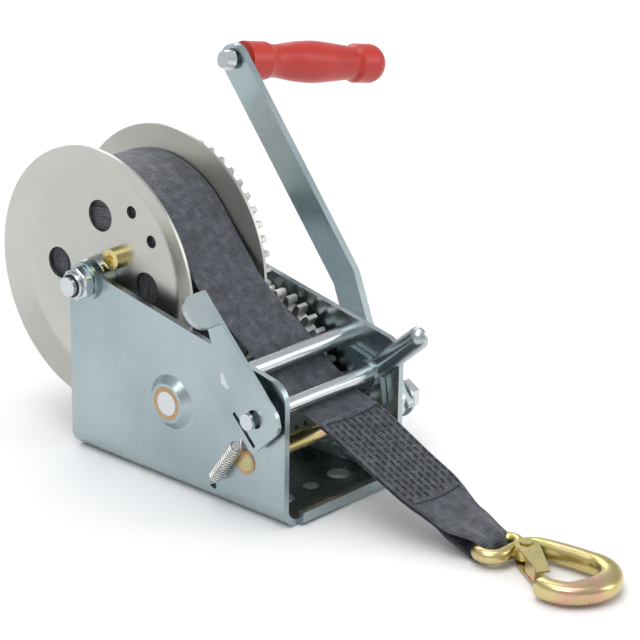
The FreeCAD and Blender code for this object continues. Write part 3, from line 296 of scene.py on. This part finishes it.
def add_web_uv(made, coordinates):
    """Each point's place on the flat web, across and along it, in metres."""
    layer = made.data.uv_layers.new(name="web")
    for loop in made.data.loops:
        layer.data[loop.index].uv = coordinates[loop.vertex_index]


def ring_faces(rings, sides, closed=False, flip=False):
    """The faces between rings of points, with an end face at both ends unless the rings close."""
    faces = []
    for i in range(rings if closed else rings - 1):
        a, b = i * sides, (i + 1) % rings * sides
        for k in range(sides):
            j = (k + 1) % sides
            faces.append((a + k, b + k, b + j, a + j) if flip else (a + k, a + j, b + j, b + k))
    if not closed:
        first = tuple(range(sides))
        last = tuple((rings - 1) * sides + k for k in range(sides))
        faces.append(first if flip else first[::-1])
        faces.append(last[::-1] if flip else last)
    return faces


def tube_rings(path, radii, sides, closed=False, up=Vector((1, 0, 0))):
    """Rings of points round a path, and the faces between them."""
    points = []
    count = len(path)
    normal = None
    for i, place in enumerate(path):
        before = path[(i - 1) % count] if closed else path[max(i - 1, 0)]
        after = path[(i + 1) % count] if closed else path[min(i + 1, count - 1)]
        along = (after - before).normalized()
        if normal is None:
            normal = along.cross(up).normalized()
        normal = (normal - along * normal.dot(along)).normalized()
        side = along.cross(normal)
        for k in range(sides):
            turn = 2 * math.pi * k / sides
            points.append(place + (normal * math.cos(turn) + side * math.sin(turn)) * radii[i])
    return points, ring_faces(count, sides, closed)


def join_parts(parts):
    """Several point and face lists as one."""
    points, faces = [], []
    for more_points, more_faces in parts:
        start = len(points)
        points += more_points
        faces += [tuple(start + i for i in face) for face in more_faces]
    return points, faces


def way_at(rows, i):
    """The direction of a line at one of its rows, each of which starts with a place."""
    return (rows[min(i + 1, len(rows) - 1)][0] - rows[max(i - 1, 0)][0]).normalized()


# ---------------------------------------------------------------- the strap's route
WRAP = math.radians(330)
WRAP_STEPS = 180
BEND_STEPS = 8
STRAP_STEP = 0.375 * MM
TINY = 1e-9


def circle_point(centre, radius, angle):
    return Vector((0, centre.y + radius * math.cos(angle), centre.z + radius * math.sin(angle)))


def strap_route():
    """The strap's middle line in the YZ plane: most of a turn round the coil, under the spacer tube
    and the pawl shaft, and on to the hook's eye."""
    coil = COIL_R + STRAP_GAP + STRAP_THICK / 2
    spacer = SPACER_R + STRAP_GAP + STRAP_THICK / 2
    pawl = PAWL_R + STRAP_GAP + STRAP_THICK / 2
    run = Vector((0, SPACER.y - DRUM.y, SPACER.z - DRUM.z))
    leave = math.atan2(run.z, run.y) - math.acos((coil + spacer) / run.length) + 2 * math.pi
    link = Vector((0, PAWL.y - SPACER.y, PAWL.z - SPACER.z))
    below = math.atan2(link.z, link.y) + math.acos((spacer - pawl) / link.length)
    out = Vector((0, EYE.y - PAWL.y, EYE.z - PAWL.z))
    lower = math.atan2(out.z, out.y) + math.pi / 2
    onto = leave - math.pi
    bend = below - onto - 2 * math.pi * round((below - onto) / (2 * math.pi))
    points = []
    for i in range(WRAP_STEPS + 1):
        points.append(circle_point(DRUM, coil, leave - WRAP + WRAP * i / WRAP_STEPS))
    for i in range(BEND_STEPS + 1):
        points.append(circle_point(SPACER, spacer, onto + bend * i / BEND_STEPS))
    for i in range(BEND_STEPS + 1):
        points.append(circle_point(PAWL, pawl, below + (lower - below) * i / BEND_STEPS))
    points.append(circle_point(EYE, 0, 0))
    return points


def spaced(points, step):
    """The same line with points about a step apart, each with the length to it, and its length."""
    lengths = [0]
    for a, b in zip(points, points[1:]):
        lengths.append(lengths[-1] + (b - a).length)
    total = lengths[-1]
    count = max(2, math.ceil(total / step))
    made = []
    k = 0
    for i in range(count + 1):
        at = total * i / count
        while k < len(lengths) - 2 and lengths[k + 1] < at:
            k += 1
        share = (at - lengths[k]) / max(lengths[k + 1] - lengths[k], TINY)
        made.append((points[k].lerp(points[k + 1], min(max(share, 0), 1)), at))
    return made, total


def smooth_step(share):
    share = min(max(share, 0), 1)
    return share * share * (3 - 2 * share)


def interpolate(stops, at):
    for (a, first), (b, last) in zip(stops, stops[1:]):
        if at <= b:
            return first + (last - first) * smooth_step((at - a) / (b - a))
    return stops[-1][1]


LINE, TOTAL = spaced(strap_route(), STRAP_STEP)
AT_TANGENT = WRAP * COIL_R


def length_at(y):
    """The length along the route where its free run passes a Y."""
    return next((at for place, at in LINE if at > AT_TANGENT and place.y < y), TOTAL)


def cut_line(first, last):
    return [(place, at) for place, at in LINE if first <= at <= last]


COIL_X = COIL_LEFT + STRAP_WIDE / 2
AT_HALF = AT_TANGENT + 48 * MM
AT_SPACER = length_at(SPACER.y)
AT_PAWL = length_at(PAWL.y)
AT_LAP = length_at(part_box("strap_tail")[1].y - 2 * MM)
LAP_LONG = TOTAL - AT_LAP
LAP_OVER = 4 * MM
# the middle's X and the width, each at a length along the route
X_STOPS = [(0, COIL_X), (AT_HALF, COIL_X), (AT_SPACER, 4.7 * MM), (AT_PAWL, 7.2 * MM),
           (AT_LAP, 9 * MM), (AT_LAP + LAP_LONG * 0.5, 7 * MM), (TOTAL, LOOP_X)]
WIDE_STOPS = [(0, STRAP_WIDE), (AT_LAP, STRAP_WIDE), (AT_LAP + LAP_LONG * 0.55, STRAP_WIDE * 0.96),
              (AT_LAP + LAP_LONG * 0.82, STRAP_WIDE * 0.76), (TOTAL, STRAP_WIDE * 0.52)]


# ---------------------------------------------------------------- the strap
RIB_HIGH = 0.12 * MM
RIB_DROP = 0.1 * MM
RIBBON_COLUMNS = 56


def rib_height(across, along):
    """Cross ribs that show in lengthwise bands, and flatter yarn between the bands."""
    band = 0.5 + 0.5 * math.cos(2 * math.pi * BAND_COUNT * across)
    rib = 0.5 + 0.5 * math.sin(2 * math.pi * along / RIB_PITCH)
    return RIB_HIGH * rib * (0.35 + 0.65 * band)


def ribbon(name, rows, x_stops, wide_stops, lift):
    """A woven band along a line in the YZ plane. lift raises its middle; both faces are ribbed."""
    points, coordinates = [], []
    for i, (place, at) in enumerate(rows):
        along = way_at(rows, i)
        normal = Vector((0, along.z, -along.y))
        centre, wide = interpolate(x_stops, at), interpolate(wide_stops, at)
        for face in (1, -1):
            for k in range(RIBBON_COLUMNS + 1):
                share = k / RIBBON_COLUMNS
                across = share if face == 1 else 1 - share
                edge = min(across, 1 - across) * wide
                round_off = min(1, math.sqrt(max(edge, 0) / (STRAP_THICK * 0.5)))
                rib = rib_height(across, at) * (1 if edge > STRAP_THICK else 0.4)
                high = STRAP_THICK / 2 * round_off + rib - RIB_DROP
                x = centre + (across - 0.5) * wide
                points.append(place + Vector((x, 0, 0)) + normal * (high * face + lift(at, across)))
                coordinates.append((across * wide, at))
    faces = ring_faces(len(rows), 2 * (RIBBON_COLUMNS + 1), flip=True)
    made = add_mesh(name, points, faces, WEB)
    add_web_uv(made, coordinates)
    return made


def flat(at, across):
    return 0.0


def make_strap():
    """The strap from its outer turn on the coil to just past the start of the sewn lap."""
    run = ribbon("strap_web", cut_line(0, AT_LAP + LAP_OVER), X_STOPS, WIDE_STOPS, flat)
    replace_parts(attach(run, "frame"), "strap_run")


LAYERS_APART = STRAP_THICK * 0.53
OPENING_LONG = 26 * MM
LOOP_STEPS = 40
SEWN_END = 72 * MM
SEWN_FADE = 8 * MM
RIDGE_HIGH = 0.22 * MM
PINCH_START = 76 * MM
PINCH_LONG = 40 * MM
FOLD_HIGH = 0.75 * MM
FOLD_SWAY = 25
STITCH_ROWS = 10


def make_tail():
    """The sewn lap: the web runs on, narrows, turns round the eye and comes back underneath."""
    lap = cut_line(AT_LAP, TOTAL)
    near = LOOP_R - STRAP_THICK / 2
    top, low = [], []
    for i, (place, at) in enumerate(lap):
        along = way_at(lap, i)
        normal = Vector((0, along.z, -along.y))
        opening = smooth_step((at - TOTAL + OPENING_LONG) / OPENING_LONG)
        away = LAYERS_APART + (near - LAYERS_APART) * opening
        top.append((place + normal * away, at))
        low.append((place - normal * away, at))
    heading = math.atan2(normal.z, normal.y)
    bend = math.pi * near
    there_and_back = 2 * TOTAL + bend
    turned = []
    for i in range(1, LOOP_STEPS):
        share = i / LOOP_STEPS
        turned.append((circle_point(EYE, near, heading + math.pi * share), TOTAL + bend * share))
    back = [(place, there_and_back - at) for place, at in reversed(low)]
    x_stops = [stop for stop in X_STOPS if stop[0] >= AT_LAP]
    wide_stops = [stop for stop in WIDE_STOPS if stop[0] >= AT_LAP]
    x_stops += [(there_and_back - at, x) for at, x in reversed(x_stops)]
    wide_stops += [(there_and_back - at, wide) for at, wide in reversed(wide_stops)]

    def crumple(at, across):
        """Ridges between the rows of stitches, and folds where the web narrows."""
        inward = (at if at < TOTAL + bend / 2 else there_and_back - at) - AT_LAP
        pinch = smooth_step((inward - PINCH_START) / PINCH_LONG)
        sewn = smooth_step(inward / SEWN_FADE) * (1 - smooth_step((inward - SEWN_END) / SEWN_FADE))
        ridge = RIDGE_HIGH * math.cos(across * 2 * math.pi * (STITCH_ROWS - 1)) * sewn
        fold = FOLD_HIGH * pinch * math.cos(across * 4 * math.pi + at * FOLD_SWAY)
        return fold - ridge / 2

    made = ribbon("strap_lap", top + turned + back, x_stops, wide_stops, crumple)
    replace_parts(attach(made, "frame"), "strap_tail")
    make_stitches()


STITCH_LONG = 4.6 * MM
STITCH_SPACE = 1.2 * MM
STITCH_SHIFT = 1.7 * MM
STITCH_SWAY = 0.007
STITCH_STEPS = 6
STITCHED = (3 * MM, 78 * MM)
THREAD_R = 0.42 * MM
THREAD_LIFT = STRAP_THICK * 1.04 + 0.12 * MM
CROSS_COUNT = 11
CROSS_BOW = 2.5 * MM


def stitch(a, b, up):
    """One stitch: a short thread that dips into the web at both ends."""
    path, radii = [], []
    for i in range(STITCH_STEPS + 1):
        share = i / STITCH_STEPS
        arch = math.sin(math.pi * share)
        path.append(a.lerp(b, share) + up * (arch * 0.55 * MM - 0.15 * MM))
        radii.append(THREAD_R * (0.7 + 0.3 * arch))
    return tube_rings(path, radii, 6)


def web_place(at, share):
    """A thread's place on the tail, at a length and a share of the width, and the way out of the web."""
    near = cut_line(at - 1 * MM, at + 1 * MM)
    along = (near[-1][0] - near[0][0]).normalized()
    normal = Vector((0, along.z, -along.y))
    x = interpolate(X_STOPS, at) + (share - 0.5) * interpolate(WIDE_STOPS, at)
    return near[len(near) // 2][0] + Vector((x, 0, 0)) + normal * THREAD_LIFT, normal


def make_stitches():
    """Rows of lock stitches along the lap, and one row across each end of it."""
    first, last = AT_LAP + STITCHED[0], AT_LAP + STITCHED[1]
    pairs = []
    for row in range(STITCH_ROWS):
        share = 0.06 + 0.88 * row / (STITCH_ROWS - 1)
        at = first + (row % 3) * STITCH_SHIFT
        while at + STITCH_LONG < last:
            sway = STITCH_SWAY * math.sin(at * 300 + row)
            pairs.append((web_place(at, share + sway), web_place(at + STITCH_LONG, share - sway)))
            at += STITCH_LONG + STITCH_SPACE
    for at in (first - 1 * MM, last):
        for i in range(CROSS_COUNT):
            share = 0.05 + 0.9 * i / CROSS_COUNT
            bow = CROSS_BOW * math.sin(math.pi * share)
            pairs.append((web_place(at + bow, share), web_place(at + bow, share + 0.07)))
    points, faces = join_parts([stitch(a, b, up) for (a, up), (b, _) in pairs])
    made = add_mesh("lap_stitching", points, faces, THREAD, "frame")
    return made


COIL_SIDES = 360
LAYER_STRAY = 0.6
LAYER_INSET = 0.9 * MM
OUTER_INSET = 1.6 * MM
# across one layer of the coil: the share of its thickness, and how far its edge is rounded back, in mm
LAYER_EDGE = ((0.02, 0.55), (0.3, 0.06), (0.7, 0.0), (0.98, 0.55))


def make_coil():
    """The wound strap: a ribbed outer face, and turns that show on both sides as uneven rings."""
    inner = half_height("drum_core") + 0.1 * MM
    outer = COIL_R - 0.05 * MM
    layers = int((outer - inner) / (STRAP_THICK * 1.02))
    pitch = (outer - inner) / layers
    half = STRAP_WIDE / 2
    right = []
    for i in range(layers):
        stray = 0.5 * math.sin(i * 2.3) + 0.3 * math.sin(i * 5.1)
        edge = half + (stray * LAYER_STRAY * MM - LAYER_INSET)
        for share, back in LAYER_EDGE:
            right.append((edge - back * MM, inner + pitch * i + pitch * share))
    outline = [(-x, radius) for x, radius in right]
    outline += [(-half + OUTER_INSET, outer), (half - OUTER_INSET, outer)] + right[::-1]
    points, coordinates = [], []
    for k in range(COIL_SIDES):
        angle = 2 * math.pi * k / COIL_SIDES
        for x, radius in outline:
            points.append(circle_point(DRUM, radius, angle) + Vector((COIL_X + x, 0, 0)))
            coordinates.append((x + half, k / COIL_SIDES * 2 * math.pi * COIL_R + radius * 0.4))
    made = add_mesh("strap_turns", points, ring_faces(COIL_SIDES, len(outline), closed=True), WEB, "drum")
    add_web_uv(made, coordinates)
    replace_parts(made, "strap_coil")


# ---------------------------------------------------------------- the spring
SPRING_TOP = (-63.5 * MM, 55.9 * MM)
SPRING_FOOT = (-32.3 * MM, 11.5 * MM)
WIRE_R = 0.62 * MM
SPRING_R = 3.55 * MM
SPRING_COILS = 15
COIL_STEPS = 24
END_STEPS = 12


def make_spring():
    """A close-wound tension spring, with its upper end at the lever and its foot in the frame's hole."""
    low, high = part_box("return_spring")
    x = (low.x + high.x) / 2
    top, foot = Vector((x, *SPRING_TOP)), Vector((x, *SPRING_FOOT))
    run = foot - top
    along = run.normalized()
    out = Vector((1, 0, 0))
    side = along.cross(out).normalized()
    start, end = top + run * 0.24, top + run * 0.80
    lever_end = Vector((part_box("selector_lever")[1].x - 1.5 * MM, top.y, top.z))
    path = []
    for i in range(END_STEPS + 1):
        turn = math.pi * i / END_STEPS
        path.append(lever_end + along * (2.4 * MM * (1 - math.cos(turn)) - 0.5 * MM)
                    + out * (2.6 * MM * math.sin(turn)))
    steps = SPRING_COILS * COIL_STEPS
    for i in range(steps + 1):
        turn = 2 * math.pi * i / COIL_STEPS
        path.append(start.lerp(end, i / steps) + side * (SPRING_R * math.cos(turn))
                    + out * (SPRING_R * math.sin(turn)))
    for i in range(END_STEPS + 1):
        share = i / END_STEPS
        path.append(foot - along * (4.4 * MM * (1 - share)) + out * (share * 7 * MM)
                    - side * (1.2 * MM * math.sin(math.pi * share)))
    points, faces = tube_rings(path, [WIRE_R] * len(path), 8)
    made = add_mesh("spring_coils", points, faces, SPRING)
    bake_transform(made)
    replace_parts(made, "return_spring")


# ---------------------------------------------------------------- the hook, in millimetres where it says so
HOOK_MIDDLE = 7.5 * MM
HOOK_SIDES = 28
HOOK_THICK = 12
SQUARENESS = 0.72
EYE_ENDS = ((11 * MM, 90), (-1 * MM, 270))
EYE_Y = -205 * MM
EYE_BEND = 8 * MM
EYE_STEPS = 24
EYE_WIRE_R = 4.4 * MM
# mm: the shank's X and Y, and its width there
SHANK = (((14.5, -212.8), 8.6), ((19.0, -214.5), 9.2), ((21.9, -219.5), 10.2),
         ((23.1, -227), 11.2), ((24.4, -237), 11.8), ((25.7, -247), 12))
BOWL = Vector((4.5 * MM, -259.5 * MM, HOOK_MIDDLE))
BOWL_OUT = 28.3 * MM
BOWL_STEPS = 60
BOWL_FROM, BOWL_ROUND = 12, 200
# the share of the way round the bowl, and the width there in mm
BOWL_WIDE = [(0, 12.2), (0.22, 13.2), (0.5, 17.6), (0.62, 17.8), (0.86, 13.2), (1, 11.8)]
# mm: how far past the bowl, and the width there
TIP = ((2, 11.4), (4, 10), (5.4, 7.4), (6.2, 4))
LUG = Vector((12, -219.5, 7.5)) * MM
# mm: the height over the hook's middle, and the radius there
LUG_RINGS = ((-3.95, 5.6), (-3.5, 6.7), (-2.4, 7.0), (2.4, 7.0), (3.5, 6.7), (3.95, 5.6))


def forged_section(place, along, wide, thick):
    """A rounded, slightly flat section across the way along, standing up in Z."""
    across = Vector((along.y, -along.x, 0)).normalized()
    points = []
    for k in range(HOOK_SIDES):
        turn = 2 * math.pi * k / HOOK_SIDES
        c, s = math.cos(turn), math.sin(turn)
        u = math.copysign(abs(c) ** SQUARENESS, c) * wide / 2
        v = math.copysign(abs(s) ** SQUARENESS, s) * thick / 2
        points.append(place + across * u + Vector((0, 0, v)))
    return points


def hook_eye():
    """A long ring of round wire, flat in the XY plane."""
    path = []
    for x, start in EYE_ENDS:
        for i in range(EYE_STEPS + 1):
            turn = math.radians(start - 180 * i / EYE_STEPS)
            path.append(Vector((x + EYE_BEND * math.cos(turn), EYE_Y + EYE_BEND * math.sin(turn),
                                HOOK_MIDDLE)))
    return tube_rings(path, [EYE_WIRE_R] * len(path), 18, closed=True, up=Vector((0, 0, 1)))


def hook_body():
    """The shank and the bowl, to the rounded tip."""
    stations = [(Vector((x, y, 7.5)) * MM, wide, wide) for (x, y), wide in SHANK]
    for i in range(BOWL_STEPS + 1):
        share = i / BOWL_STEPS
        turn = math.radians(BOWL_FROM - BOWL_ROUND * share)
        wide = interpolate(BOWL_WIDE, share)
        radius = BOWL_OUT - wide / 2 * MM
        stations.append((BOWL + Vector((math.cos(turn), math.sin(turn), 0)) * radius, wide, HOOK_THICK))
    last = stations[-1][0]
    way = Vector((math.sin(turn), -math.cos(turn), 0))
    for past, wide in TIP:
        stations.append((last + way * past * MM, wide, wide + 0.6))
    points = []
    for i, (place, wide, thick) in enumerate(stations):
        points += forged_section(place, way_at(stations, i), wide * MM, thick * MM)
    return points, ring_faces(len(stations), HOOK_SIDES, flip=True)


def hook_lug():
    """The round lug between the eye and the shank, which the latch turns on."""
    points = []
    for up, radius in LUG_RINGS:
        for k in range(HOOK_SIDES):
            turn = 2 * math.pi * k / HOOK_SIDES
            points.append(LUG + Vector((radius * math.cos(turn), radius * math.sin(turn), up)) * MM)
    return points, ring_faces(len(LUG_RINGS), HOOK_SIDES)


def make_hook():
    """The forged hook: a round eye, a shank that flattens, and a bowl that widens at its end."""
    points, faces = join_parts([hook_eye(), hook_body(), hook_lug()])
    made = add_mesh("forged_hook", points, faces, YELLOW, "hook")
    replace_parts(made, "hook")


# ---------------------------------------------------------------- the axle's nut
NUT_BORE = 6.05 * MM
CORNER_KEPT = 0.985


def turned_about_x(name, profile, centre, material, sides, hex_half=None):
    """A closed profile of x and radius turned about an axis along X, cut to a hexagon if it has one."""
    points = []
    for k in range(sides):
        turn = 2 * math.pi * k / sides
        reach = math.inf
        if hex_half:
            reach = hex_half / math.cos((turn + math.pi / 6) % (math.pi / 3) - math.pi / 6)
        for x, radius in profile:
            r = min(radius, reach)
            points.append(Vector((x, centre.y + r * math.cos(turn), centre.z + r * math.sin(turn))))
    faces = ring_faces(sides, len(profile), closed=True, flip=True)
    return add_mesh(name, points, faces, material, "frame", smooth=False)


def make_lock_nut():
    """The axle's lock nut: a chamfered hexagon, a rolled collar and a dark nylon ring."""
    low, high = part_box("drum_axle_nut")
    centre = middle("drum_axle_nut")
    corner = (high.y - low.y) / math.cos(math.pi / 6) / 2 * CORNER_KEPT
    half = min(high.y - low.y, high.z - low.z) / 2
    base, end = high.x, low.x
    seat = end + 1.2 * MM
    profile = [(base, NUT_BORE), (base, half * 0.97), (base - 0.9 * MM, corner), (end + 4.4 * MM, corner),
               (end + 3.5 * MM, half * 0.97), (end + 3.3 * MM, half * 0.90), (end + 1.0 * MM, half * 0.88),
               (end + 0.2 * MM, half * 0.80), (end + 0.3 * MM, half * 0.76), (seat, half * 0.74),
               (seat, NUT_BORE)]
    nut = turned_about_x("axle_lock_nut", profile, centre, ROD, 96, half)
    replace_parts(nut, "drum_axle_nut")
    rim = half * 0.735
    ring = [(seat, NUT_BORE), (end + 0.5 * MM, NUT_BORE), (end + 0.4 * MM, NUT_BORE + 0.3 * MM),
            (end + 0.4 * MM, rim - 0.2 * MM), (end + 0.7 * MM, rim), (seat, rim)]
    nylon = turned_about_x("axle_nut_nylon", ring, centre, THREAD, 64)


make_coil()
make_hook()
make_strap()
make_tail()
make_lock_nut()
make_spring()


# ---------------------------------------------------------------- stage, light and camera
AZIMUTH = math.radians(-47.85)
ELEVATION = math.radians(21.03)
ROLL = math.radians(0.81)
CAMERA_PLACE = Vector((-1.2221, -1.1752, 0.7460))
LENS = 168.92
SENSOR = 36
CLIP_END = 50
FLOOR_HALF = 12
FLOOR_Z = -0.0002
WORLD_STRENGTH = 0.85
# name, place, aim, size in metres and power in watts
LIGHTS = (("key", (-1.3, -0.4, 2.2), (0, 0, 0.08), (1.5, 1.5), 20),
          ("fill", (1.6, -1.9, 1.3), (0, -0.05, 0.08), (1.0, 1.8), 12),
          ("rim", (1.2, 1.8, 1.6), (0, 0, 0.1), (1.6, 1.2), 14),
          ("top", (0, 0.2, 2.6), (0, 0, 0), (1.6, 1.6), 16))


def make_camera():
    right = Vector((math.cos(AZIMUTH), math.sin(AZIMUTH), 0))
    back = Vector((math.sin(AZIMUTH) * math.cos(ELEVATION), -math.cos(AZIMUTH) * math.cos(ELEVATION),
                   math.sin(ELEVATION)))
    up = back.cross(right)
    c, s = math.cos(ROLL), math.sin(ROLL)
    right, up = right * c + up * s, up * c - right * s
    data = bpy.data.cameras.new("camera")
    data.lens = LENS
    data.sensor_width = SENSOR
    data.clip_end = CLIP_END
    camera = bpy.data.objects.new("camera", data)
    turn = Matrix((right, up, back)).transposed().to_4x4()
    camera.matrix_world = Matrix.Translation(CAMERA_PLACE) @ turn
    bpy.context.scene.collection.objects.link(camera)
    bpy.context.scene.camera = camera


def make_floor():
    mesh = bpy.data.meshes.new("floor")
    corners = [(x * FLOOR_HALF, y * FLOOR_HALF, 0) for x, y in ((-1, -1), (1, -1), (1, 1), (-1, 1))]
    mesh.from_pydata(corners, [], [(0, 1, 2, 3)])
    floor = bpy.data.objects.new("floor", mesh)
    floor.location.z = FLOOR_Z
    bpy.context.scene.collection.objects.link(floor)
    material, _, shader = new_material("floor")
    shader.inputs["Base Color"].default_value = (0.92, 0.92, 0.92, 1)
    shader.inputs["Roughness"].default_value = 0.9
    shader.inputs["Specular IOR Level"].default_value = 0.2
    mesh.materials.append(material)


def softbox(name, place, aim, size, power):
    data = bpy.data.lights.new(name, "AREA")
    data.shape = "RECTANGLE"
    data.size, data.size_y = size
    data.energy = power
    light = bpy.data.objects.new(name, data)
    light.location = place
    light.rotation_euler = (Vector(place) - Vector(aim)).to_track_quat("Z", "Y").to_euler()
    bpy.context.scene.collection.objects.link(light)


def make_light():
    """A pale world that darkens a little above the horizon, and four soft boxes."""
    world = bpy.data.worlds.new("studio")
    world.use_nodes = True
    tree = world.node_tree
    background = tree.nodes["Background"]
    shade = ramp(tree, [(0.46, (0.85, 0.86, 0.87)), (0.56, (1.0, 1.0, 1.0)), (0.70, (0.55, 0.57, 0.60)),
                        (0.90, (0.80, 0.81, 0.83))])
    axes = axes_of(tree, node(tree, "ShaderNodeTexCoord").outputs["Generated"])
    tree.links.new(maths(tree, "MULTIPLY_ADD", axes["Z"], 0.5, 0.5), shade.inputs["Fac"])
    tree.links.new(shade.outputs["Color"], background.inputs["Color"])
    background.inputs["Strength"].default_value = WORLD_STRENGTH
    bpy.context.scene.world = world
    for light in LIGHTS:
        softbox(*light)


make_camera()
make_floor()
make_light()
bpy.context.scene.view_settings.view_transform = "Standard"
